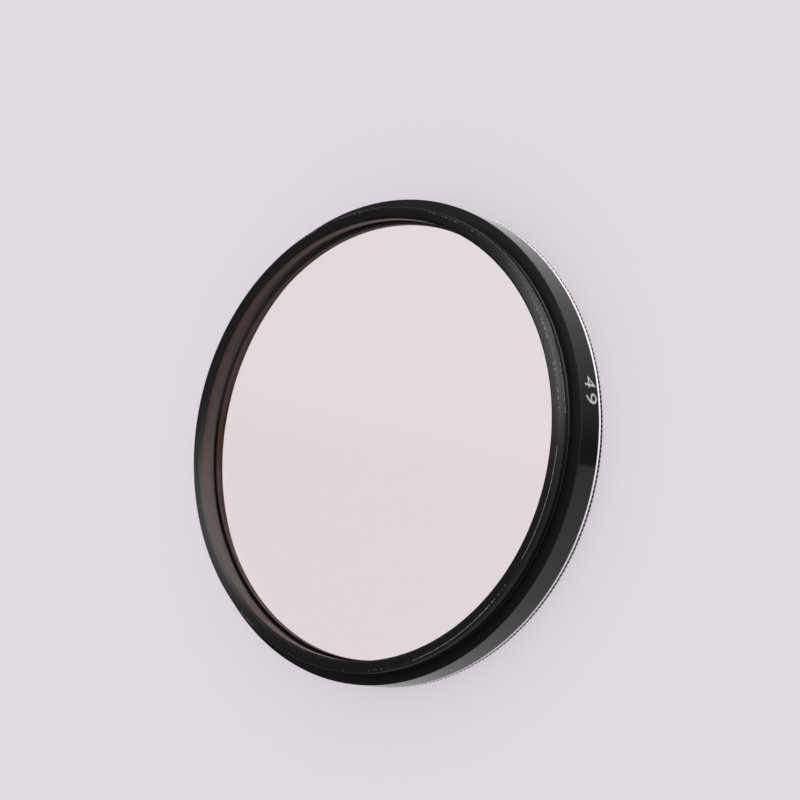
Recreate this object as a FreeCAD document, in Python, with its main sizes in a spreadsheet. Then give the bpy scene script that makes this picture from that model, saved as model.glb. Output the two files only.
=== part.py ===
"""Screw-in skylight filter for a camera lens, lying on its knurled front edge.

The axis is +Z and the origin is the centre of the front face. The male thread stands up at the rear.
Three pieces: the turned aluminium ring, the glass disc and the slotted ring that retains the glass.
"""
import FreeCAD, Part
import Sketcher
import math
import os

# Driving sizes in millimetres, each one free to change by itself.
DRIVING_SIZES = [
    # threads: male at the rear, female at the front, of one size so that filters stack
    ("ThreadDiameter", 49.0),
    ("ThreadPitch", 0.75),
    ("ThreadLength", 2.1),
    ("ThreadChamfer", 0.25),
    ("MouthChamfer", 0.55),
    ("UndercutDepth", 0.475),
    ("UndercutWidth", 0.3),
    # rim: the outer band with the knurled front edge, standing out past the thread
    ("RimOverhang", 1.1),
    ("RimHeight", 3.9),
    ("RimEdge", 0.06),
    ("FrontChamfer", 0.2),
    # turned groove between the band and the knurl
    ("GrooveHeight", 0.88),
    ("GrooveDepth", 0.25),
    ("GrooveFlank", 0.28),
    ("GrooveBack", 0.05),
    # straight knurl: sharp teeth whose tips lie just under the rim, between two thin plain strips
    ("KnurlPitch", 0.51),
    ("KnurlDepth", 0.17),
    ("KnurlRelief", 0.01),
    ("KnurlBed", 0.085),
    ("KnurlMargin", 0.03),
    # two ledges inside the bore, for the retaining ring and the glass, and the lip the glass rests against
    ("RetainerLedge", 0.3),
    ("SeatLedge", 0.15),
    ("LipWidth", 0.45),
    ("LipThickness", 1.2),
    ("LipChamfer", 0.3),
    # glass disc
    ("GlassThickness", 2.0),
    ("GlassBevel", 0.15),
    ("SeatClearance", 0.05),
    ("SeatRelief", 0.1),
    # slotted retaining ring
    ("RetainerWidth", 0.75),
    ("RetainerThickness", 0.85),
    ("RetainerChamfer", 0.15),
    ("RetainerClearance", 0.05),
    ("RetainerRelief", 0.1),
    ("SlotWidth", 1.2),
    ("SlotDepth", 0.4),
    ("SlotOverrun", 1.0),
]

# Radii and heights that follow from the driving sizes, as formulas of the sheet.
WORKED_OUT = [
    # heights above the front face, from the rear end down to the front
    ("EndPlane", "=RimHeight + ThreadLength"),
    ("ThreadTop", "=EndPlane - ThreadChamfer"),
    ("UndercutTop", "=RimHeight + UndercutWidth"),
    ("ThreadStart", "=UndercutTop + ThreadRadius - UndercutRadius"),
    ("BandTop", "=RimHeight - RimEdge"),
    ("BandStart", "=GrooveHeight + GrooveBack"),
    ("KnurlTop", "=GrooveHeight - GrooveFlank"),
    ("LipTop", "=EndPlane - LipChamfer"),
    ("SeatPlane", "=EndPlane - LipThickness"),
    ("GlassFront", "=SeatPlane - GlassThickness"),
    ("SeatStep", "=GlassFront + SeatRelief"),
    ("GlassUpperEdge", "=SeatPlane - GlassBevel"),
    ("GlassLowerEdge", "=GlassFront + GlassBevel"),
    ("RetainerFront", "=GlassFront - RetainerThickness"),
    ("RetainerLowerEdge", "=RetainerFront + RetainerChamfer"),
    ("RetainerStep", "=RetainerFront - RetainerRelief"),
    # radii of the ring
    ("RimRadius", "=ThreadRadius + RimOverhang"),
    ("FrontFaceRadius", "=RimRadius - FrontChamfer"),
    ("ShoulderRadius", "=RimRadius - RimEdge"),
    ("GrooveRadius", "=RimRadius - GrooveDepth"),
    ("ThreadRadius", "=ThreadDiameter / 2"),
    ("ThreadEndRadius", "=ThreadRadius - ThreadChamfer"),
    ("UndercutRadius", "=ThreadRadius - UndercutDepth"),
    # a metric female thread is five eighths of the sharp V deep, and the V is cos 30 degrees of its pitch high
    ("SharpVHeight", "=cos(30) * ThreadPitch"),
    ("BoreRadius", "=ThreadRadius - 5 / 8 * SharpVHeight"),
    ("MouthRadius", "=BoreRadius + MouthChamfer"),
    ("InnerBoreRadius", "=BoreRadius - RetainerLedge"),
    ("SeatRadius", "=InnerBoreRadius - SeatLedge"),
    ("LipRadius", "=SeatRadius - LipWidth"),
    ("LipMouthRadius", "=LipRadius + LipChamfer"),
    # radii of the glass and of the retaining ring
    ("GlassRadius", "=SeatRadius - SeatClearance"),
    ("GlassFaceRadius", "=GlassRadius - GlassBevel"),
    ("RetainerRadius", "=InnerBoreRadius - RetainerClearance"),
    ("RetainerFaceRadius", "=RetainerRadius - RetainerChamfer"),
    ("RetainerBoreRadius", "=RetainerRadius - RetainerWidth"),
    ("RetainerMouthRadius", "=RetainerBoreRadius + RetainerChamfer"),
    # crown of knurl teeth, bedded in the ring below the roots of its teeth
    ("KnurlStart", "=FrontChamfer + KnurlMargin"),
    ("KnurlEnd", "=KnurlTop - KnurlMargin"),
    ("ToothCount", "=round(2 * pi * RimRadius / KnurlPitch)"),
    ("ToothTipRadius", "=RimRadius - KnurlRelief"),
    ("ToothRootRadius", "=RimRadius - KnurlDepth"),
    ("CrownBedRadius", "=ToothRootRadius - KnurlBed"),
    # one spanner slot, drawn from inside the retaining ring's bore to past its outside
    ("SlotInner", "=RetainerBoreRadius - SlotOverrun"),
    ("SlotOuter", "=RetainerRadius + SlotOverrun"),
    ("SlotUpper", "=SlotWidth / 2"),
    ("SlotLower", "=-SlotUpper"),
]

# Two opposite slots take the spanner.
SLOT_COUNT = 2

# Corners of an outline on an axis of its sketch have no size there.
FRONT_FACE = None
CENTRE_LINE = None


def make_sheet(doc):
    """Write the driving sizes and the formulas that follow from them."""
    sheet = doc.addObject("Spreadsheet::Sheet", "Sizes")
    rows = list(enumerate(DRIVING_SIZES + WORKED_OUT, start=1))
    for row, (alias, content) in rows:
        sheet.set(f"A{row}", alias)
        sheet.setAlias(f"B{row}", alias)
    for row, (alias, content) in rows:
        sheet.set(f"B{row}", str(content))
    doc.recompute()


def origin_feature(body, role):
    """Return the plane or axis of the body's own origin that has this role."""
    return next(item for item in body.Origin.OriginFeatures if item.Role == role)


def new_sketch(body, name, role):
    """Add a sketch to the body, attached to one of its origin planes."""
    sketch = body.newObject("Sketcher::SketchObject", name)
    sketch.AttachmentSupport = [(origin_feature(body, role), "")]
    sketch.MapMode = "FlatFace"
    return sketch


def hold_at(sketch, line, axis, alias):
    """Hold the start of a line at a sheet distance from the origin, along one axis."""
    if alias is None:
        on_line = -1 if axis == "DistanceY" else -2
        sketch.addConstraint(Sketcher.Constraint("PointOnObject", line, 1, on_line))
        return
    size = sketch.Document.Sizes.get(alias)
    index = sketch.addConstraint(Sketcher.Constraint(axis, -1, 1, line, 1, float(size)))
    name = f"{alias}_{line}"
    sketch.renameConstraint(index, name)
    sketch.setExpression(f"Constraints.{name}", f"Sizes.{alias}")


def closed_outline(sketch, corners):
    """Draw a closed outline through corners given as pairs of sheet aliases, across and up."""
    sheet = sketch.Document.Sizes
    places = []
    for across, up in corners:
        x = 0.0 if across is None else float(sheet.get(across))
        y = 0.0 if up is None else float(sheet.get(up))
        places.append(FreeCAD.Vector(x, y, 0))
    for start, end in zip(places, places[1:] + places[:1]):
        sketch.addGeometry(Part.LineSegment(start, end))
    last = len(corners) - 1
    for line in range(len(corners)):
        following = 0 if line == last else line + 1
        sketch.addConstraint(Sketcher.Constraint("Coincident", line, 2, following, 1))
    for line, (across, up) in enumerate(corners):
        hold_at(sketch, line, "DistanceX", across)
        hold_at(sketch, line, "DistanceY", up)


def turned_body(doc, label, corners):
    """Turn a half section about the axis, as on a lathe."""
    body = doc.addObject("PartDesign::Body", label)
    body.Label = label
    section = new_sketch(body, f"{label}_section", "XZ_Plane")
    closed_outline(section, corners)
    turned = body.newObject("PartDesign::Revolution", f"{label}_turned")
    turned.Profile = section
    turned.ReferenceAxis = (origin_feature(body, "Z_Axis"), [""])
    turned.Angle = 360
    section.Visibility = False
    doc.recompute()
    return body


def cut_round(body, name, sketch, depth, count):
    """Cut a sketch upwards to a sheet depth and repeat the cut evenly round the axis."""
    doc = body.Document
    volume_before = body.Shape.Volume
    cut = body.newObject("PartDesign::Pocket", f"{name}_cut")
    cut.Profile = sketch
    cut.Reversed = True
    cut.setExpression("Length", f"Sizes.{depth}")
    doc.recompute()
    if cut.Shape.Volume >= volume_before:
        raise RuntimeError(f"{name} cuts nothing")
    pattern = body.newObject("PartDesign::PolarPattern", f"{name}_pattern")
    pattern.Originals = [cut]
    pattern.Axis = (origin_feature(body, "Z_Axis"), [""])
    pattern.Angle = 360
    pattern.Occurrences = count
    body.Tip = pattern
    doc.recompute()


def make_knurl_crown(doc):
    """Draw the crown of sharp straight teeth from one root and one tip for each tooth."""
    sizes = doc.Sizes
    base = float(sizes.KnurlStart)
    count = round(float(sizes.ToothCount))
    corners = []
    for tooth in range(count):
        for radius, share in ((sizes.ToothRootRadius, 0.0), (sizes.ToothTipRadius, 0.5)):
            angle = 2 * math.pi * (tooth + share) / count
            corners.append(FreeCAD.Vector(radius * math.cos(angle), radius * math.sin(angle), base))
    outline = Part.makePolygon(corners + corners[:1])
    bed = Part.Wire(Part.makeCircle(float(sizes.CrownBedRadius), FreeCAD.Vector(0, 0, base)))
    crown = doc.addObject("Part::Feature", "knurl_crown")
    section = Part.makeFace([outline, bed], "Part::FaceMakerBullseye")
    crown.Shape = section.extrude(FreeCAD.Vector(0, 0, sizes.KnurlEnd - base))
    crown.Placement = FreeCAD.Placement()
    return crown


def make_filter_ring(doc):
    """Turn the ring from its section and set the crown of knurl teeth in its bed."""
    turned = turned_body(doc, "turned_ring", [
        # front face, its outer chamfer and the bed of the knurl
        ("MouthRadius", FRONT_FACE),
        ("FrontFaceRadius", FRONT_FACE),
        ("RimRadius", "FrontChamfer"),
        ("RimRadius", "KnurlStart"),
        ("CrownBedRadius", "KnurlStart"),
        ("CrownBedRadius", "KnurlEnd"),
        ("RimRadius", "KnurlEnd"),
        ("RimRadius", "KnurlTop"),
        # groove, band and flat shoulder
        ("GrooveRadius", "GrooveHeight"),
        ("RimRadius", "BandStart"),
        ("RimRadius", "BandTop"),
        ("ShoulderRadius", "RimHeight"),
        # undercut and crest line of the male thread
        ("UndercutRadius", "RimHeight"),
        ("UndercutRadius", "UndercutTop"),
        ("ThreadRadius", "ThreadStart"),
        ("ThreadRadius", "ThreadTop"),
        ("ThreadEndRadius", "EndPlane"),
        # lip, glass seat, inner bore and crest line of the female thread
        ("LipMouthRadius", "EndPlane"),
        ("LipRadius", "LipTop"),
        ("LipRadius", "SeatPlane"),
        ("SeatRadius", "SeatPlane"),
        ("SeatRadius", "SeatStep"),
        ("InnerBoreRadius", "SeatStep"),
        ("InnerBoreRadius", "RetainerStep"),
        ("BoreRadius", "RetainerStep"),
        ("BoreRadius", "MouthChamfer"),
    ])
    ring = doc.addObject("Part::Fuse", "filter_ring")
    ring.Base = turned
    ring.Tool = make_knurl_crown(doc)
    ring.Refine = True
    doc.recompute()
    return ring


def make_filter_glass(doc):
    """Grind a flat disc with a small bevel round both faces."""
    return turned_body(doc, "filter_glass", [
        (CENTRE_LINE, "GlassFront"),
        ("GlassFaceRadius", "GlassFront"),
        ("GlassRadius", "GlassLowerEdge"),
        ("GlassRadius", "GlassUpperEdge"),
        ("GlassFaceRadius", "SeatPlane"),
        (CENTRE_LINE, "SeatPlane"),
    ])


def make_retaining_ring(doc):
    """Turn the thin ring that bears on the glass and mill its two spanner slots."""
    body = turned_body(doc, "retaining_ring", [
        ("RetainerMouthRadius", "RetainerFront"),
        ("RetainerFaceRadius", "RetainerFront"),
        ("RetainerRadius", "RetainerLowerEdge"),
        ("RetainerRadius", "GlassFront"),
        ("RetainerBoreRadius", "GlassFront"),
        ("RetainerBoreRadius", "RetainerLowerEdge"),
    ])
    slot = new_sketch(body, "spanner_slot", "XY_Plane")
    slot.setExpression("AttachmentOffset.Base.z", "Sizes.RetainerFront")
    closed_outline(slot, [
        ("SlotInner", "SlotLower"),
        ("SlotOuter", "SlotLower"),
        ("SlotOuter", "SlotUpper"),
        ("SlotInner", "SlotUpper"),
    ])
    cut_round(body, "slot", slot, "SlotDepth", SLOT_COUNT)
    return body


def check_document(doc, bodies):
    """Stop if any object failed or any piece has no sound solid."""
    for item in doc.Objects:
        if "Invalid" in item.State or "Error" in item.State:
            raise RuntimeError(f"{item.Label} failed: {item.State}")
    for body in bodies:
        if body.Shape.isNull() or not body.Shape.isValid() or len(body.Shape.Solids) != 1:
            raise RuntimeError(f"{body.Label} has no sound solid")


def main():
    doc = FreeCAD.newDocument("skylight_filter")
    make_sheet(doc)
    bodies = [make_filter_ring(doc), make_filter_glass(doc), make_retaining_ring(doc)]
    for body in bodies:
        body.Placement = FreeCAD.Placement()
    doc.recompute()
    check_document(doc, bodies)
    os.makedirs("parts", exist_ok=True)
    for body in bodies:
        body.Shape.exportStep(f"parts/{body.Label}.step")
        print(body.Label, "volume", round(body.Shape.Volume, 3), "mm3, faces", len(body.Shape.Faces))


main()
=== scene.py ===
"""Skylight filter of 49 mm thread, lying on its knurled front edge with the male thread up.

The ring, the glass and the retaining ring are modelled here in full, each in the place of its plain solid.
Sizes are in millimetres and angles in degrees until they reach Blender, which works in metres.
"""
import math
import bmesh
import bpy
from mathutils import Matrix, Vector


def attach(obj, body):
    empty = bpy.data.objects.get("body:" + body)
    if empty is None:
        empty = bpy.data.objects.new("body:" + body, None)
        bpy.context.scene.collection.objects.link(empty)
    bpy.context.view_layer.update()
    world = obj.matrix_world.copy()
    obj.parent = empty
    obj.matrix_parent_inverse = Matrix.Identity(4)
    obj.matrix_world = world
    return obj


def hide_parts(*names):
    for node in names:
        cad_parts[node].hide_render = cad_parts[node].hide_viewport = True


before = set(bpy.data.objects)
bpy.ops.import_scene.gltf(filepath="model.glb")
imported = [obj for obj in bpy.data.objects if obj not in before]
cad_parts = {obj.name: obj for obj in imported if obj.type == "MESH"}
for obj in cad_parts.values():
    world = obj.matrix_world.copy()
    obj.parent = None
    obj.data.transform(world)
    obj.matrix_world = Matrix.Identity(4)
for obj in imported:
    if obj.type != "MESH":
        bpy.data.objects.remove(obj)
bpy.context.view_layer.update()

MM = 0.001

# Heights above the surface that the filter lies on.
FRONT_CHAMFER_TOP = 0.2
KNURL_END = 0.57
FLANK_START = 0.60
GROOVE_BOTTOM = 0.88
BAND_START = 0.93
SHOULDER = 3.9
UNDERCUT_TOP = 4.0
THREAD_START = 4.475
THREAD_TOP = 5.75
END_FACE = 6.0
LIP_TOP = 5.7
SEAT_PLANE = 4.8
SEAT_STEP = 2.9
RETAINER_TOP = 2.8
RETAINER_FRONT = 1.95
RETAINER_STEP = 1.85
MOUTH_CHAMFER = 0.55

# Radii of the ring.
RIM = 25.5998
FRONT_FACE_RIM = 25.4
TOOTH_TIP = 25.59
TOOTH_ROOT = 25.43
GROOVE = 25.35
CREST = 24.5
THREAD_END = 24.25
UNDERCUT = 24.025
BORE = 24.094
INNER_BORE = 23.794
SEAT = 23.644
LIP = 23.194
LIP_MOUTH = 23.494
MOUTH = 24.644
RETAINER_RIM = 23.744
RETAINER_BORE = 22.994
GLASS_RIM = 23.594

# Eased edges of the ring, and the chamfers of the glass and the retaining ring.
SHOULDER_EDGE = 0.06
THREAD_EDGE = 0.03
FINE_EDGE = 0.02
SMALL_CHAMFER = 0.15

# Spanner slots of the retaining ring.
SLOT_WIDTH = 1.2
SLOT_DEPTH = 0.4

# Engraved thread size on the band.
DIGIT_HEIGHT = 1.85
DIGIT_CENTRE = 2.2
DIGIT_ANGLE = 6.0
DIGIT_DEPTH = 0.1

# Knurl: one tooth every 0.51 mm. Each tooth takes two columns of the spun ring.
TOOTH_COUNT = 315
COLUMNS = 2 * TOOTH_COUNT

# Threads: 0.75 mm pitch, right-handed, as on every 49 mm filter. Each groove section reaches past the crest.
PITCH = 0.75
STEPS_PER_TURN = 315
MALE_GROOVE = [(24.11, -0.03), (24.56, -0.29), (24.56, 0.29), (24.11, 0.03)]
FEMALE_GROOVE = [(24.5, -0.047), (24.03, -0.318), (24.03, 0.318), (24.5, 0.047)]

# Slack when a vertex, an edge or a face is picked by its place.
SAME_PLACE = 0.004
SLACK = 0.01


def leave_nothing_selected():
    """Start a piece with nothing selected and no piece in edit mode."""
    if bpy.context.object and bpy.context.object.mode != "OBJECT":
        bpy.ops.object.mode_set(mode="OBJECT")
    bpy.ops.object.select_all(action="DESELECT")


def draw_outline(name, corners):
    """Draw a closed half section in the XZ plane: one vertex extruded to each corner (radius, height) in turn."""
    leave_nothing_selected()
    bpy.ops.mesh.primitive_plane_add(size=MM, location=(0, 0, 0))
    piece = bpy.context.object
    piece.name = name
    bpy.ops.object.mode_set(mode="EDIT")
    bpy.ops.mesh.select_mode(type="VERT")
    bpy.ops.mesh.merge(type="CENTER")
    here = (0.0, 0.0)
    for number, corner in enumerate(corners):
        step = ((corner[0] - here[0]) * MM, 0, (corner[1] - here[1]) * MM)
        if number == 0:
            bpy.ops.transform.translate(value=step)
        else:
            bpy.ops.mesh.extrude_region_move(TRANSFORM_OT_translate={"value": step})
        here = corner
    bpy.ops.mesh.select_all(action="DESELECT")
    mesh = bmesh.from_edit_mesh(piece.data)
    for vertex in mesh.verts:
        if len(vertex.link_edges) == 1:
            vertex.select = True
    bmesh.update_edit_mesh(piece.data)
    bpy.ops.mesh.edge_face_add()
    bpy.ops.mesh.select_all(action="SELECT")
    return piece


def turn_on_axis(columns):
    """Spin what is selected once round the axis, close the seam and turn the faces outwards."""
    bpy.ops.mesh.spin(steps=columns, angle=math.tau, center=(0, 0, 0), axis=(0, 0, 1))
    bpy.ops.mesh.select_all(action="SELECT")
    bpy.ops.mesh.remove_doubles(threshold=0.001 * MM)
    bpy.ops.mesh.normals_make_consistent(inside=False)


def place_of(vertex):
    """Radius and height of a vertex in millimetres."""
    return math.hypot(vertex.co.x, vertex.co.y) / MM, vertex.co.z / MM


def ease_edges(piece, places, width):
    """Bevel the circular edges that lie at these places (radius, height)."""
    bpy.ops.mesh.select_all(action="DESELECT")
    bpy.ops.mesh.select_mode(type="EDGE")
    mesh = bmesh.from_edit_mesh(piece.data)
    for edge in mesh.edges:
        first, second = (place_of(vertex) for vertex in edge.verts)
        if math.dist(first, second) < SAME_PLACE:
            if any(math.dist(first, place) < SAME_PLACE for place in places):
                edge.select = True
    bmesh.update_edit_mesh(piece.data)
    bpy.ops.mesh.bevel(offset=width * MM, offset_type="OFFSET", segments=2, affect="EDGES")
    bpy.ops.mesh.select_mode(type="VERT")


def thread_cutter(name, corners, start_angle, start_height, turns):
    """Sweep a closed groove section along a right-handed helix, for a Boolean to cut with."""
    cutter = draw_outline(name, corners)
    bpy.ops.transform.translate(value=(0, 0, start_height * MM))
    bpy.ops.object.mode_set(mode="OBJECT")
    screw = cutter.modifiers.new("helix", "SCREW")
    screw.axis = "Z"
    screw.angle = math.tau * turns
    screw.screw_offset = PITCH * MM * turns
    screw.steps = round(STEPS_PER_TURN * turns)
    screw.render_steps = screw.steps
    bpy.ops.object.modifier_apply(modifier=screw.name)
    cutter.rotation_euler.z = math.radians(start_angle)
    bpy.ops.object.transform_apply(location=False, rotation=True, scale=False)
    bpy.ops.object.mode_set(mode="EDIT")
    bpy.ops.mesh.select_all(action="SELECT")
    bpy.ops.mesh.fill_holes(sides=len(corners))
    bpy.ops.mesh.normals_make_consistent(inside=False)
    bpy.ops.object.mode_set(mode="OBJECT")
    return cutter


def cut_away(piece, cutters):
    """Subtract each cutter from the piece and throw the cutters away."""
    for cutter in cutters:
        leave_nothing_selected()
        bpy.context.view_layer.objects.active = piece
        piece.select_set(True)
        cut = piece.modifiers.new("cut", "BOOLEAN")
        cut.operation = "DIFFERENCE"
        cut.solver = "EXACT"
        cut.object = cutter
        bpy.ops.object.modifier_apply(modifier=cut.name)
        bpy.data.objects.remove(cutter)


def linear(code):
    """Turn an sRGB hex colour into Blender's linear values."""
    shades = [int(code[place:place + 2], 16) / 255 for place in (1, 3, 5)]
    return tuple(shade / 12.92 if shade <= 0.04045 else ((shade + 0.055) / 1.055) ** 2.4 for shade in shades) + (1.0,)


def add_node(tree, kind, inputs, **settings):
    """Add a node, with its settings, and with a value or a link for each named input."""
    node = tree.nodes.new(kind)
    for name, value in settings.items():
        setattr(node, name, value)
    for name, value in inputs.items():
        if isinstance(value, bpy.types.NodeSocket):
            tree.links.new(value, node.inputs[name])
        else:
            node.inputs[name].default_value = value
    return node


def new_material(name):
    """Return a fresh material, its node tree and its output node."""
    material = bpy.data.materials.new(name)
    material.use_nodes = True
    tree = material.node_tree
    tree.nodes.clear()
    return material, tree, tree.nodes.new("ShaderNodeOutputMaterial")


def polar_place(tree):
    """Give the distance from the axis and the height in millimetres, and the angle round the axis in degrees."""
    place = add_node(tree, "ShaderNodeTexCoord", {})
    axes = add_node(tree, "ShaderNodeSeparateXYZ", {0: place.outputs["Object"]})
    flat = add_node(tree, "ShaderNodeVectorMath", {0: place.outputs["Object"], 1: (1, 1, 0)}, operation="MULTIPLY")
    reach = add_node(tree, "ShaderNodeVectorMath", {0: flat.outputs[0]}, operation="LENGTH")
    radius = add_node(tree, "ShaderNodeMath", {0: reach.outputs["Value"], 1: 1 / MM}, operation="MULTIPLY")
    height = add_node(tree, "ShaderNodeMath", {0: axes.outputs["Z"], 1: 1 / MM}, operation="MULTIPLY")
    turn = add_node(tree, "ShaderNodeMath", {0: axes.outputs["Y"], 1: axes.outputs["X"]}, operation="ARCTAN2")
    angle = add_node(tree, "ShaderNodeMath", {0: turn.outputs[0], 1: 180 / math.pi}, operation="MULTIPLY")
    return radius.outputs[0], height.outputs[0], angle.outputs[0]


def turning_marks(tree, spacing, drift):
    """Noise drawn out round the axis: rings about spacing mm apart that fade in and out every drift degrees."""
    radius, height, angle = polar_place(tree)
    across = add_node(tree, "ShaderNodeMath", {0: radius, 1: height}, operation="ADD")
    rings = add_node(tree, "ShaderNodeMath", {0: across.outputs[0], 1: 1 / spacing}, operation="MULTIPLY")
    steps = add_node(tree, "ShaderNodeMath", {0: height, 1: 0.5 / spacing}, operation="MULTIPLY")
    along = add_node(tree, "ShaderNodeMath", {0: angle, 1: 1 / drift}, operation="MULTIPLY")
    place = add_node(tree, "ShaderNodeCombineXYZ", {
        0: rings.outputs[0],
        1: steps.outputs[0],
        2: along.outputs[0],
    })
    noise = add_node(tree, "ShaderNodeTexNoise", {
        "Vector": place.outputs[0],
        "Scale": 1.0,
        "Detail": 2.0,
        "Roughness": 0.6,
    })
    return noise.outputs[0]


def anodised_band():
    """Black anodised aluminium, diamond turned: a deep gloss black that mirrors what stands round it."""
    material, tree, output = new_material("black_anodised_aluminium_gloss")
    # tool marks 0.02 mm apart would not show: drawn 0.15 mm apart
    marks = turning_marks(tree, 0.15, 40.0)
    bump = add_node(tree, "ShaderNodeBump", {"Strength": 0.04, "Distance": 0.02 * MM, "Height": marks})
    roughness = add_node(tree, "ShaderNodeMapRange", {"Value": marks, "To Min": 0.06, "To Max": 0.14})
    shader = add_node(tree, "ShaderNodeBsdfPrincipled", {
        "Base Color": linear("#0e0e0f"),
        "Roughness": roughness.outputs[0],
        "IOR": 1.7,
        "Normal": bump.outputs[0],
    })
    tree.links.new(shader.outputs["BSDF"], output.inputs["Surface"])
    return material


def anodised_shoulder():
    """Black anodised aluminium, faced off: a softer gloss than the band, dark with a blurred image of the thread."""
    material, tree, output = new_material("black_anodised_aluminium_faced")
    # facing marks drawn 0.12 mm apart, coarser than the real feed
    marks = turning_marks(tree, 0.12, 35.0)
    bump = add_node(tree, "ShaderNodeBump", {"Strength": 0.08, "Distance": 0.02 * MM, "Height": marks})
    shader = add_node(tree, "ShaderNodeBsdfPrincipled", {
        "Base Color": linear("#0f100f"),
        "Roughness": 0.34,
        "IOR": 1.6,
        "Normal": bump.outputs[0],
    })
    tree.links.new(shader.outputs["BSDF"], output.inputs["Surface"])
    return material


def rubbed_edges(tree):
    """Share of bare metal on the thread: dots along one crest and thin stretches of the end face's outer edge."""
    radius, height, angle = polar_place(tree)
    # dots about 0.3 mm long, in patches some 6 mm long
    fine = add_node(tree, "ShaderNodeTexNoise", {"W": angle, "Scale": 1.3, "Detail": 1.0}, noise_dimensions="1D")
    patch = add_node(tree, "ShaderNodeTexNoise", {"W": angle, "Scale": 0.07, "Detail": 1.0}, noise_dimensions="1D")
    chance = add_node(tree, "ShaderNodeMath", {0: fine.outputs[0], 1: patch.outputs[0]}, operation="MULTIPLY")
    dots = add_node(tree, "ShaderNodeMapRange", {"Value": chance.outputs[0], "From Min": 0.26, "From Max": 0.34})
    # the crest's lower corner climbs with the groove, 0.75 mm a turn
    climb = add_node(tree, "ShaderNodeMath", {0: angle, 1: PITCH / 360, 2: 5.2}, operation="MULTIPLY_ADD")
    crest = add_node(tree, "ShaderNodeMath", {0: height, 1: climb.outputs[0], 2: 0.06}, operation="COMPARE")
    # it is rubbed from -10 to 64 degrees, where it was set to the lens
    handled = add_node(tree, "ShaderNodeMath", {0: angle, 1: 27.0, 2: 37.0}, operation="COMPARE")
    crest = add_node(tree, "ShaderNodeMath", {0: crest.outputs[0], 1: handled.outputs[0]}, operation="MULTIPLY")
    crest_wear = add_node(tree, "ShaderNodeMath", {0: dots.outputs[0], 1: crest.outputs[0]}, operation="MULTIPLY")
    # the corner between the chamfer and the end face
    corner = add_node(tree, "ShaderNodeMath", {0: radius, 1: THREAD_END, 2: 0.025}, operation="COMPARE")
    top = add_node(tree, "ShaderNodeMath", {0: height, 1: END_FACE - 0.05}, operation="GREATER_THAN")
    rim = add_node(tree, "ShaderNodeMath", {0: corner.outputs[0], 1: top.outputs[0]}, operation="MULTIPLY")
    rare = add_node(tree, "ShaderNodeMapRange", {"Value": chance.outputs[0], "From Min": 0.33, "From Max": 0.38})
    # two stretches of this corner are worn through: -76 to -50 and -36 to -8 degrees
    stretches = rare.outputs[0]
    for centre, reach in ((-63.0, 13.0), (-22.0, 14.0)):
        stretch = add_node(tree, "ShaderNodeMath", {0: angle, 1: centre, 2: reach}, operation="COMPARE")
        rough = add_node(tree, "ShaderNodeMath", {0: stretch.outputs[0], 1: fine.outputs[0]}, operation="MULTIPLY")
        longer = add_node(tree, "ShaderNodeMath", {0: stretches, 1: rough.outputs[0]}, operation="MAXIMUM")
        stretches = longer.outputs[0]
    rim_wear = add_node(tree, "ShaderNodeMath", {0: rim.outputs[0], 1: stretches}, operation="MULTIPLY")
    wear = add_node(tree, "ShaderNodeMath", {0: crest_wear.outputs[0], 1: rim_wear.outputs[0]}, operation="MAXIMUM")
    return wear.outputs[0]


def anodised_thread(name, roughness, ior):
    """Black anodised aluminium, left as the threading tool cut it: satin, with rings that catch the light.

    The rougher the cut, the less of the surface mirrors, so a rough place gets a lower IOR than the oxide's own. The
    lowest IOR, in the thread's grooves, is painted shade.
    """
    material, tree, output = new_material(name)
    # feed marks drawn 0.1 mm apart, twice the real feed
    marks = turning_marks(tree, 0.1, 25.0)
    bump = add_node(tree, "ShaderNodeBump", {"Strength": 0.35, "Distance": 0.02 * MM, "Height": marks})
    colour = add_node(tree, "ShaderNodeMix", {
        "Factor": marks,
        "A": linear("#070706"),
        "B": linear("#121211"),
    }, data_type="RGBA")
    worn = add_node(tree, "ShaderNodeMix", {
        "Factor": rubbed_edges(tree),
        "A": colour.outputs["Result"],
        "B": linear("#a09c97"),
    }, data_type="RGBA")
    # the grooves run round the axis, so the sheen spreads across them
    grain = add_node(tree, "ShaderNodeTangent", {}, direction_type="RADIAL", axis="Z")
    shader = add_node(tree, "ShaderNodeBsdfPrincipled", {
        "Base Color": worn.outputs["Result"],
        "Roughness": roughness,
        "IOR": ior,
        "Anisotropic": 0.85,
        "Anisotropic Rotation": 0.25,
        "Tangent": grain.outputs[0],
        "Normal": bump.outputs[0],
    })
    tree.links.new(shader.outputs["BSDF"], output.inputs["Surface"])
    return material


def anodised_bore():
    """Black anodised aluminium inside the ring: satin and worn brownish by the dye's fading."""
    material, tree, output = new_material("faded_black_anodised_aluminium")
    # boring marks drawn 0.12 mm apart, coarser than the real feed
    marks = turning_marks(tree, 0.12, 30.0)
    bump = add_node(tree, "ShaderNodeBump", {"Strength": 0.2, "Distance": 0.02 * MM, "Height": marks})
    colour = add_node(tree, "ShaderNodeMix", {
        "Factor": marks,
        "A": linear("#2a1c17"),
        "B": linear("#3c2a23"),
    }, data_type="RGBA")
    shader = add_node(tree, "ShaderNodeBsdfPrincipled", {
        "Base Color": colour.outputs["Result"],
        "Roughness": 0.38,
        "IOR": 1.35,
        "Normal": bump.outputs[0],
    })
    tree.links.new(shader.outputs["BSDF"], output.inputs["Surface"])
    return material


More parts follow.
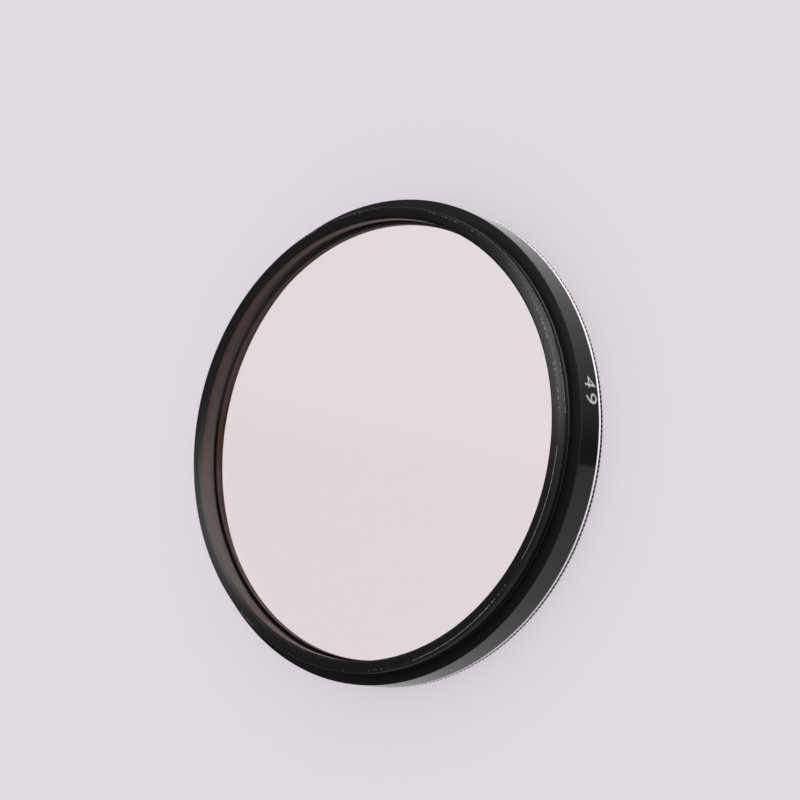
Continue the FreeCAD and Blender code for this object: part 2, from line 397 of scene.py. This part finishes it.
def anodised_knurl():
    """Black anodised aluminium, knurled: black teeth, a row of dark beads, over valleys of bare metal that mirrors,
    painted bright for the highlights between the teeth.
    """
    material, tree, output = new_material("black_anodised_aluminium_knurled")
    radius, height, _ = polar_place(tree)
    # painted highlight: the valleys between the teeth get a bright bare-metal colour
    deep = add_node(tree, "ShaderNodeMapRange", {
        "Value": radius,
        "From Min": TOOTH_ROOT + 0.02,
        "From Max": TOOTH_ROOT + 0.1,
        "To Min": 1.0,
        "To Max": 0.0,
    })
    crown = add_node(tree, "ShaderNodeMath", {0: height, 1: FRONT_CHAMFER_TOP + 0.01}, operation="GREATER_THAN")
    valley_painted_highlight = add_node(tree, "ShaderNodeMath", {0: deep.outputs[0], 1: crown.outputs[0]}, operation="MULTIPLY")
    colour = add_node(tree, "ShaderNodeMix", {
        "Factor": valley_painted_highlight.outputs[0],
        "A": linear("#0c0c0c"),
        "B": linear("#d4d2cf"),
    }, data_type="RGBA")
    shader = add_node(tree, "ShaderNodeBsdfPrincipled", {
        "Base Color": colour.outputs["Result"],
        "Metallic": valley_painted_highlight.outputs[0],
        "Roughness": 0.4,
    })
    tree.links.new(shader.outputs["BSDF"], output.inputs["Surface"])
    return material


def bare_groove():
    """Bare aluminium where the groove tool went through the black: bright, with painted shade, a black line, towards
    the bottom.

    A thin dull film of oxide lies on it, so it scatters more light than it mirrors and looks evenly bright.
    """
    material, tree, output = new_material("bare_aluminium_dulled")
    # tool marks drawn 0.1 mm apart, twice the real feed
    marks = turning_marks(tree, 0.1, 20.0)
    colour = add_node(tree, "ShaderNodeMix", {
        "Factor": marks,
        "A": linear("#d2d0cd"),
        "B": linear("#f2f1ef"),
    }, data_type="RGBA")
    radius, _, _ = polar_place(tree)
    # painted shade: the colour goes to black towards the bottom of the groove
    out_of_groove_shade = add_node(tree, "ShaderNodeMapRange", {
        "Value": radius, "From Min": GROOVE + 0.13, "From Max": GROOVE + 0.18,
    })
    groove_painted_shade = add_node(tree, "ShaderNodeMix", {
        "Factor": out_of_groove_shade.outputs[0],
        "A": linear("#000000"),
        "B": colour.outputs["Result"],
    }, data_type="RGBA")
    shader = add_node(tree, "ShaderNodeBsdfPrincipled", {
        "Base Color": groove_painted_shade.outputs["Result"],
        "Metallic": 0.35,
        "Roughness": 0.75,
    })
    tree.links.new(shader.outputs["BSDF"], output.inputs["Surface"])
    return material


def white_fill():
    """White enamel in the engraved number: a chalky off-white, thin where it was wiped off."""
    material, tree, output = new_material("white_engraving_enamel")
    place = add_node(tree, "ShaderNodeTexCoord", {})
    # patches 0.2 mm wide
    wiped = add_node(tree, "ShaderNodeTexNoise", {"Vector": place.outputs["Object"], "Scale": 1 / (0.2 * MM)})
    colour = add_node(tree, "ShaderNodeMix", {
        "Factor": wiped.outputs[0],
        "A": linear("#b9b6ae"),
        "B": linear("#eeece6"),
    }, data_type="RGBA")
    shader = add_node(tree, "ShaderNodeBsdfPrincipled", {
        "Base Color": colour.outputs["Result"],
        "Roughness": 0.6,
    })
    tree.links.new(shader.outputs["BSDF"], output.inputs["Surface"])
    return material


def blackened_edge():
    """Black paint on the ground edge of the glass: matt and brownish, so that no light strays in at the side."""
    material, tree, output = new_material("matt_black_edge_paint")
    shader = add_node(tree, "ShaderNodeBsdfPrincipled", {
        "Base Color": linear("#221c1b"),
        "Roughness": 0.8,
    })
    tree.links.new(shader.outputs["BSDF"], output.inputs["Surface"])
    return material


def skylight_glass():
    """Coated optical glass with a faint pink tint: clear, with weak reflections."""
    material, tree, output = new_material("pink_skylight_glass")
    shader = add_node(tree, "ShaderNodeBsdfPrincipled", {
        "Base Color": linear("#fff9f8"),
        "Roughness": 0.0,
        "IOR": 1.52,
        "Transmission Weight": 1.0,
        "Specular IOR Level": 0.2,
    })
    # light passes the disc, which throws no dark shadow of its own
    lit_through = add_node(tree, "ShaderNodeBsdfTransparent", {"Color": linear("#fdf6f5")})
    path = add_node(tree, "ShaderNodeLightPath", {})
    mix = add_node(tree, "ShaderNodeMixShader", {
        0: path.outputs["Is Shadow Ray"],
        1: shader.outputs["BSDF"],
        2: lit_through.outputs["BSDF"],
    })
    tree.links.new(mix.outputs["Shader"], output.inputs["Surface"])
    return material


def make_ring():
    """Turn the ring from its section, press in the knurl, cut both threads and engrave the thread size."""
    ring = draw_outline("ring_body", [
        (MOUTH, 0.0),
        (FRONT_FACE_RIM, 0.0),
        (TOOTH_TIP, FRONT_CHAMFER_TOP),
        (TOOTH_TIP, KNURL_END - 0.005),
        (RIM, KNURL_END),
        (RIM, FLANK_START),
        (GROOVE, GROOVE_BOTTOM),
        (RIM, BAND_START),
        (RIM, SHOULDER),
        (UNDERCUT, SHOULDER),
        (UNDERCUT, UNDERCUT_TOP),
        (CREST, THREAD_START),
        (CREST, THREAD_TOP),
        (THREAD_END, END_FACE),
        (LIP_MOUTH, END_FACE),
        (LIP, LIP_TOP),
        (LIP, SEAT_PLANE),
        (SEAT, SEAT_PLANE),
        (SEAT, SEAT_STEP),
        (INNER_BORE, SEAT_STEP),
        (INNER_BORE, RETAINER_STEP),
        (BORE, RETAINER_STEP),
        (BORE, MOUTH_CHAMFER),
    ])
    turn_on_axis(COLUMNS)
    # knurl: every second column goes in to the roots of the teeth
    bpy.ops.mesh.select_all(action="DESELECT")
    mesh = bmesh.from_edit_mesh(ring.data)
    for vertex in mesh.verts:
        radius, height = place_of(vertex)
        column = round(math.atan2(vertex.co.y, vertex.co.x) / math.tau * COLUMNS)
        crown = FRONT_CHAMFER_TOP - SAME_PLACE / 2 < height < KNURL_END - SAME_PLACE / 2
        if column % 2 == 0 and crown and radius > TOOTH_ROOT:
            vertex.select = True
    bmesh.update_edit_mesh(ring.data)
    share = TOOTH_ROOT / TOOTH_TIP
    bpy.ops.transform.resize(value=(share, share, 1), center_override=(0, 0, 0))
    ease_edges(ring, [(RIM, SHOULDER)], SHOULDER_EDGE)
    thread_edges = [(CREST, THREAD_TOP), (THREAD_END, END_FACE), (LIP_MOUTH, END_FACE), (LIP, LIP_TOP)]
    ease_edges(ring, thread_edges, THREAD_EDGE)
    ease_edges(ring, [(MOUTH, 0.0)], FINE_EDGE)
    ease_edges(ring, [(RIM, BAND_START), (UNDERCUT, SHOULDER)], FINE_EDGE)
    bpy.ops.object.mode_set(mode="OBJECT")
    cut_away(ring, [
        thread_cutter("male_groove", MALE_GROOVE, start_angle=45.0, start_height=4.27, turns=1.6),
        thread_cutter("female_groove", FEMALE_GROOVE, start_angle=30.0, start_height=-0.4, turns=2.4),
    ])
    engrave_size(ring)
    # under the 22.5 degrees of an eased edge, so that the faces beside it stay flat
    bpy.ops.object.shade_smooth_by_angle(angle=math.radians(18))
    return ring


def give_material(piece, material, belongs):
    """Add a material and assign it to the faces whose centre and normal belong to its zone."""
    leave_nothing_selected()
    bpy.context.view_layer.objects.active = piece
    piece.select_set(True)
    piece.data.materials.append(material)
    piece.active_material_index = len(piece.data.materials) - 1
    bpy.ops.object.mode_set(mode="EDIT")
    bpy.ops.mesh.select_mode(type="FACE")
    bpy.ops.mesh.select_all(action="DESELECT")
    mesh = bmesh.from_edit_mesh(piece.data)
    for face in mesh.faces:
        centre = face.calc_center_median()
        radius = math.hypot(centre.x, centre.y)
        outward = (face.normal.x * centre.x + face.normal.y * centre.y) / radius if radius else 0.0
        if belongs(radius / MM, centre.z / MM, outward):
            face.select_set(True)
    bmesh.update_edit_mesh(piece.data)
    bpy.ops.object.material_slot_assign()
    bpy.ops.object.mode_set(mode="OBJECT")


def make_glass():
    """Grind the disc from a cylinder: flat faces with a small bevel round each."""
    leave_nothing_selected()
    bottom, top = RETAINER_TOP, SEAT_PLANE
    bpy.ops.mesh.primitive_cylinder_add(
        vertices=360, radius=GLASS_RIM * MM, depth=(top - bottom) * MM, location=(0, 0, (top + bottom) / 2 * MM))
    glass = bpy.context.object
    glass.name = "glass_disc"
    bpy.ops.object.transform_apply(location=True, rotation=False, scale=False)
    bpy.ops.object.mode_set(mode="EDIT")
    ease_edges(glass, [(GLASS_RIM, bottom), (GLASS_RIM, top)], SMALL_CHAMFER)
    bpy.ops.object.mode_set(mode="OBJECT")
    # again under 22.5 degrees: the polished faces stay flat
    bpy.ops.object.shade_smooth_by_angle(angle=math.radians(20))
    return glass


def make_retainer():
    """Turn the thin ring that holds the glass and mill its two spanner slots."""
    ring = draw_outline("retainer", [
        (RETAINER_BORE + SMALL_CHAMFER, RETAINER_FRONT),
        (RETAINER_RIM - SMALL_CHAMFER, RETAINER_FRONT),
        (RETAINER_RIM, RETAINER_FRONT + SMALL_CHAMFER),
        (RETAINER_RIM, RETAINER_TOP),
        (RETAINER_BORE, RETAINER_TOP),
        (RETAINER_BORE, RETAINER_FRONT + SMALL_CHAMFER),
    ])
    turn_on_axis(360)
    bpy.ops.object.mode_set(mode="OBJECT")
    cutters = []
    for side in (-1, 1):
        leave_nothing_selected()
        bpy.ops.mesh.primitive_cube_add(size=1, location=(side * 23.5 * MM, 0, RETAINER_FRONT * MM))
        bpy.context.object.scale = (3 * MM, SLOT_WIDTH * MM, 2 * SLOT_DEPTH * MM)
        bpy.ops.object.transform_apply(location=True, rotation=False, scale=True)
        cutters.append(bpy.context.object)
    cut_away(ring, cutters)
    bpy.ops.object.shade_smooth_by_angle(angle=math.radians(28))
    return ring


def engrave_size(ring):
    """Engrave the thread size in the band with its top towards the knurl, as such rings are marked."""
    leave_nothing_selected()
    bpy.ops.object.text_add()
    number = bpy.context.object
    number.data.body = "49"
    # a digit is 0.7 of the letter size high
    number.data.size = DIGIT_HEIGHT / 0.7 * MM
    number.data.space_character = 1.25
    number.data.align_x = "CENTER"
    number.data.align_y = "CENTER"
    half_thickness = 0.3
    number.data.extrude = half_thickness * MM
    bpy.ops.object.convert(target="MESH")
    # reading direction along -Y, digit tops down, face out along +X
    upside = Matrix(((0, 0, 1), (-1, 0, 0), (0, -1, 0))).to_4x4()
    out = Matrix.Translation(((RIM + half_thickness - DIGIT_DEPTH) * MM, 0, DIGIT_CENTRE * MM))
    round_to = Matrix.Rotation(math.radians(DIGIT_ANGLE), 4, "Z")
    number.matrix_world = round_to @ out @ upside
    bpy.ops.object.transform_apply(location=True, rotation=True, scale=True)
    bpy.ops.object.mode_set(mode="EDIT")
    bpy.ops.mesh.select_all(action="SELECT")
    bpy.ops.mesh.remove_doubles(threshold=0.001 * MM)
    bpy.ops.mesh.normals_make_consistent(inside=False)
    bpy.ops.object.mode_set(mode="OBJECT")
    cut_away(ring, [number])


def finish_piece(piece, node):
    """Put a finished piece in the place of its solid."""
    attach(piece, "root")
    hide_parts(node)


def make_floor():
    """Lay the pale floor: plain for the camera and in the glass, with a painted reflection by angle round the ring for
    glossy rays.
    """
    leave_nothing_selected()
    bpy.ops.mesh.primitive_plane_add(size=4, location=(0, 0, 0))
    floor = bpy.context.object
    floor.name = "floor"
    material, tree, output = new_material("pale_matt_paper")
    path = add_node(tree, "ShaderNodeLightPath", {})
    radius, _, angle = polar_place(tree)
    # painted reflection for the polished band: mid grey below -11 degrees, then dark, and brighter above
    below = add_node(tree, "ShaderNodeMapRange", {
        "Value": angle, "From Min": -80.0, "From Max": -12.0, "To Min": 0.62, "To Max": 0.30,
    })
    above = add_node(tree, "ShaderNodeMapRange", {
        "Value": angle, "From Min": -6.0, "From Max": 60.0, "To Min": 0.06, "To Max": 1.0,
    })
    # ... and a little down again behind, so that both halves meet in one tone at 180 degrees
    behind = add_node(tree, "ShaderNodeMapRange", {
        "Value": angle, "From Min": 110.0, "From Max": 175.0, "To Min": 1.0, "To Max": 0.62,
    })
    upper = add_node(tree, "ShaderNodeMath", {0: above.outputs[0], 1: behind.outputs[0]}, operation="MULTIPLY")
    edge = add_node(tree, "ShaderNodeMapRange", {"Value": angle, "From Min": -11.5, "From Max": -10.5})
    painted_reflection_level = add_node(tree, "ShaderNodeMix", {
        "Factor": edge.outputs[0],
        "A": below.outputs[0],
        "B": upper.outputs[0],
    })
    # painted reflection for the bores: the paper under the ring, paler at -75 and darker at -50 degrees
    outside = add_node(tree, "ShaderNodeMath", {0: radius, 1: RIM - 1}, operation="GREATER_THAN")
    inner = add_node(tree, "ShaderNodeMapRange", {
        "Value": angle, "From Min": -75.0, "From Max": -50.0, "To Min": 0.8, "To Max": 0.35,
    })
    painted_reflection_level = add_node(tree, "ShaderNodeMix", {
        "Factor": outside.outputs[0],
        "A": inner.outputs[0],
        "B": painted_reflection_level.outputs[0],
    })
    painted_reflection = add_node(tree, "ShaderNodeMix", {
        "Factor": painted_reflection_level.outputs[0],
        "A": linear("#000000"),
        "B": linear("#f4f2f5"),
    }, data_type="RGBA")
    # rays that went through the glass count as glossy too, and find the plain paper
    in_mirror = add_node(tree, "ShaderNodeMath", {
        0: path.outputs["Is Glossy Ray"],
        1: path.outputs["Is Transmission Ray"],
    }, operation="GREATER_THAN")
    plain = add_node(tree, "ShaderNodeMix", {
        "Factor": path.outputs["Is Transmission Ray"],
        "A": linear("#e8e3e8"),
        "B": linear("#ece6e8"),
    }, data_type="RGBA")
    tone = add_node(tree, "ShaderNodeMix", {
        "Factor": in_mirror.outputs[0],
        "A": plain.outputs["Result"],
        "B": painted_reflection.outputs["Result"],
    }, data_type="RGBA")
    paper = add_node(tree, "ShaderNodeBsdfDiffuse", {"Color": linear("#dad5da")})
    pale = add_node(tree, "ShaderNodeEmission", {"Color": tone.outputs["Result"], "Strength": 1.0})
    # the camera sees four tenths of real paper, which keep the filter's shadow
    seen = add_node(tree, "ShaderNodeMath", {0: path.outputs["Is Camera Ray"], 1: 0.6}, operation="MULTIPLY")
    through = add_node(tree, "ShaderNodeMath", {0: path.outputs["Is Transmission Ray"], 1: 0.95}, operation="MULTIPLY")
    either = add_node(tree, "ShaderNodeMath", {0: seen.outputs[0], 1: through.outputs[0]}, operation="MAXIMUM")
    share = add_node(tree, "ShaderNodeMath", {0: either.outputs[0], 1: path.outputs["Is Glossy Ray"]},
                     operation="MAXIMUM")
    mix = add_node(tree, "ShaderNodeMixShader", {
        0: share.outputs[0],
        1: paper.outputs["BSDF"],
        2: pale.outputs["Emission"],
    })
    tree.links.new(mix.outputs["Shader"], output.inputs["Surface"])
    floor.data.materials.append(material)


def make_world():
    """Light the scene softly all round; reflections find a darker studio with one pale wall."""
    world = bpy.data.worlds.new("studio")
    bpy.context.scene.world = world
    world.use_nodes = True
    tree = world.node_tree
    tree.nodes.clear()
    place = add_node(tree, "ShaderNodeTexCoord", {})
    axes = add_node(tree, "ShaderNodeSeparateXYZ", {0: place.outputs["Generated"]})
    turn = add_node(tree, "ShaderNodeMath", {0: axes.outputs["Y"], 1: axes.outputs["X"]}, operation="ARCTAN2")
    angle = add_node(tree, "ShaderNodeMath", {0: turn.outputs[0], 1: 180 / math.pi}, operation="MULTIPLY")
    # the wall stands across from the camera, from 90 to 165 degrees
    near = add_node(tree, "ShaderNodeMapRange", {"Value": angle.outputs[0], "From Min": 80.0, "From Max": 100.0})
    far = add_node(tree, "ShaderNodeMapRange", {
        "Value": angle.outputs[0], "From Min": 164.0, "From Max": 165.5, "To Min": 1.0, "To Max": 0.0,
    })
    wall = add_node(tree, "ShaderNodeMath", {0: near.outputs[0], 1: far.outputs[0]}, operation="MULTIPLY")
    tone = add_node(tree, "ShaderNodeMix", {
        "Factor": wall.outputs[0],
        "A": linear("#1c1c1e"),
        "B": linear("#8a8885"),
    }, data_type="RGBA")
    # a low pale screen on the camera's side, with soft edges, which the chamfers and the bare groove mirror
    screen = 1.0
    for value, outside, inside in (
            (angle.outputs[0], -130.0, -90.0),
            (angle.outputs[0], 40.0, 5.0),
            (axes.outputs["Z"], 0.8, 0.6)):
        fade = add_node(tree, "ShaderNodeMapRange", {"Value": value, "From Min": outside, "From Max": inside})
        both = add_node(tree, "ShaderNodeMath", {0: screen, 1: fade.outputs[0]}, operation="MULTIPLY")
        screen = both.outputs[0]
    tone = add_node(tree, "ShaderNodeMix", {
        "Factor": screen,
        "A": tone.outputs["Result"],
        "B": linear("#cfcdcf"),
    }, data_type="RGBA")
    path = add_node(tree, "ShaderNodeLightPath", {})
    soft = add_node(tree, "ShaderNodeBackground", {"Color": linear("#fbfaff"), "Strength": 0.95})
    room = add_node(tree, "ShaderNodeBackground", {"Color": tone.outputs["Result"], "Strength": 1.0})
    mix = add_node(tree, "ShaderNodeMixShader", {
        0: path.outputs["Is Glossy Ray"],
        1: soft.outputs["Background"],
        2: room.outputs["Background"],
    })
    output = tree.nodes.new("ShaderNodeOutputWorld")
    tree.links.new(mix.outputs["Shader"], output.inputs["Surface"])


def hang_softbox(name, azimuth, elevation, distance, width, height, brightness, lights_paper=True):
    """Hang a soft lamp aimed at the filter, in degrees and metres; brightness 1 is white in a mirror."""
    a, e = math.radians(azimuth), math.radians(elevation)
    place = Vector((math.cos(a) * math.cos(e), math.sin(a) * math.cos(e), math.sin(e))) * distance
    leave_nothing_selected()
    bpy.ops.object.light_add(type="AREA", location=place)
    lamp = bpy.context.object
    lamp.name = name
    lamp.data.shape = "RECTANGLE"
    lamp.data.size = width
    lamp.data.size_y = height
    lamp.data.energy = brightness * math.pi * width * height
    lamp.visible_diffuse = lights_paper
    lamp.rotation_euler = place.to_track_quat("Z", "Y").to_euler()


def set_camera():
    """Look down at the filter from its +X side: place, turn and lens are fitted to the photograph's circles."""
    bpy.ops.object.camera_add(
        location=(192.5286 * MM, -51.5927 * MM, 246.2137 * MM),
        rotation=(math.radians(10.2308), math.radians(38.0849), 0.0))
    camera = bpy.context.object
    camera.data.sensor_width = 36
    camera.data.lens = 135
    camera.data.clip_start = 0.01
    bpy.context.scene.camera = camera


ring = make_ring()
give_material(ring, anodised_band(), lambda radius, height, outward: True)
give_material(
    ring, anodised_shoulder(),
    lambda radius, height, outward: SHOULDER - SLACK < height < SHOULDER + 2 * SLACK)
give_material(
    ring, anodised_thread("black_anodised_aluminium_turned", roughness=0.5, ior=1.5),
    lambda radius, height, outward: height > SHOULDER + 2 * SLACK and radius > LIP + SLACK)
give_material(
    ring, anodised_thread("black_anodised_aluminium_filed", roughness=0.55, ior=1.4),
    lambda radius, height, outward: height > LIP_TOP and 0.3 < abs(outward) < 0.96)
give_material(
    ring, anodised_bore(),
    lambda radius, height, outward: radius < LIP + SLACK or radius < CREST and height < SEAT_PLANE and outward < 0.2)
give_material(
    ring, anodised_knurl(),
    lambda radius, height, outward: height < KNURL_END + SLACK and radius > GROOVE)
give_material(
    ring, bare_groove(),
    lambda radius, height, outward: FLANK_START < height < GROOVE_BOTTOM and radius > GROOVE - SLACK)
give_material(
    ring, white_fill(),
    lambda radius, height, outward: (
        BAND_START + 0.1 < height < SHOULDER - 0.1 and CREST + 0.2 < radius < RIM - 2 * SLACK))
# painted shade: the thread's grooves get a darker copy of its finish, with a lower IOR
give_material(
    ring, anodised_thread("black_anodised_aluminium_groove_shaded", roughness=0.7, ior=1.2),
    lambda radius, height, outward: (
        SHOULDER + 2 * SLACK < height < THREAD_TOP and CREST - 0.5 < radius < CREST - SLACK))
glass = make_glass()
give_material(glass, skylight_glass(), lambda radius, height, outward: True)
give_material(glass, blackened_edge(), lambda radius, height, outward: outward > 0.3)
retainer = make_retainer()
give_material(retainer, anodised_bore(), lambda radius, height, outward: True)
finish_piece(ring, "filter_ring")
finish_piece(glass, "filter_glass")
finish_piece(retainer, "retaining_ring")
make_floor()
make_world()
hang_softbox("key_softbox", azimuth=62, elevation=22, distance=0.55, width=0.85, height=0.4, brightness=0.35)
# a bright narrow lamp for the sheen of the thread alone: it stays off the paper and the white enamel
hang_softbox("sheen_softbox", azimuth=42, elevation=38, distance=0.5, width=0.5, height=0.25, brightness=16.0,
             lights_paper=False)
hang_softbox("side_softbox", azimuth=-85, elevation=14, distance=0.55, width=0.9, height=0.25, brightness=0.35)
set_camera()
bpy.context.scene.view_settings.view_transform = "Standard"
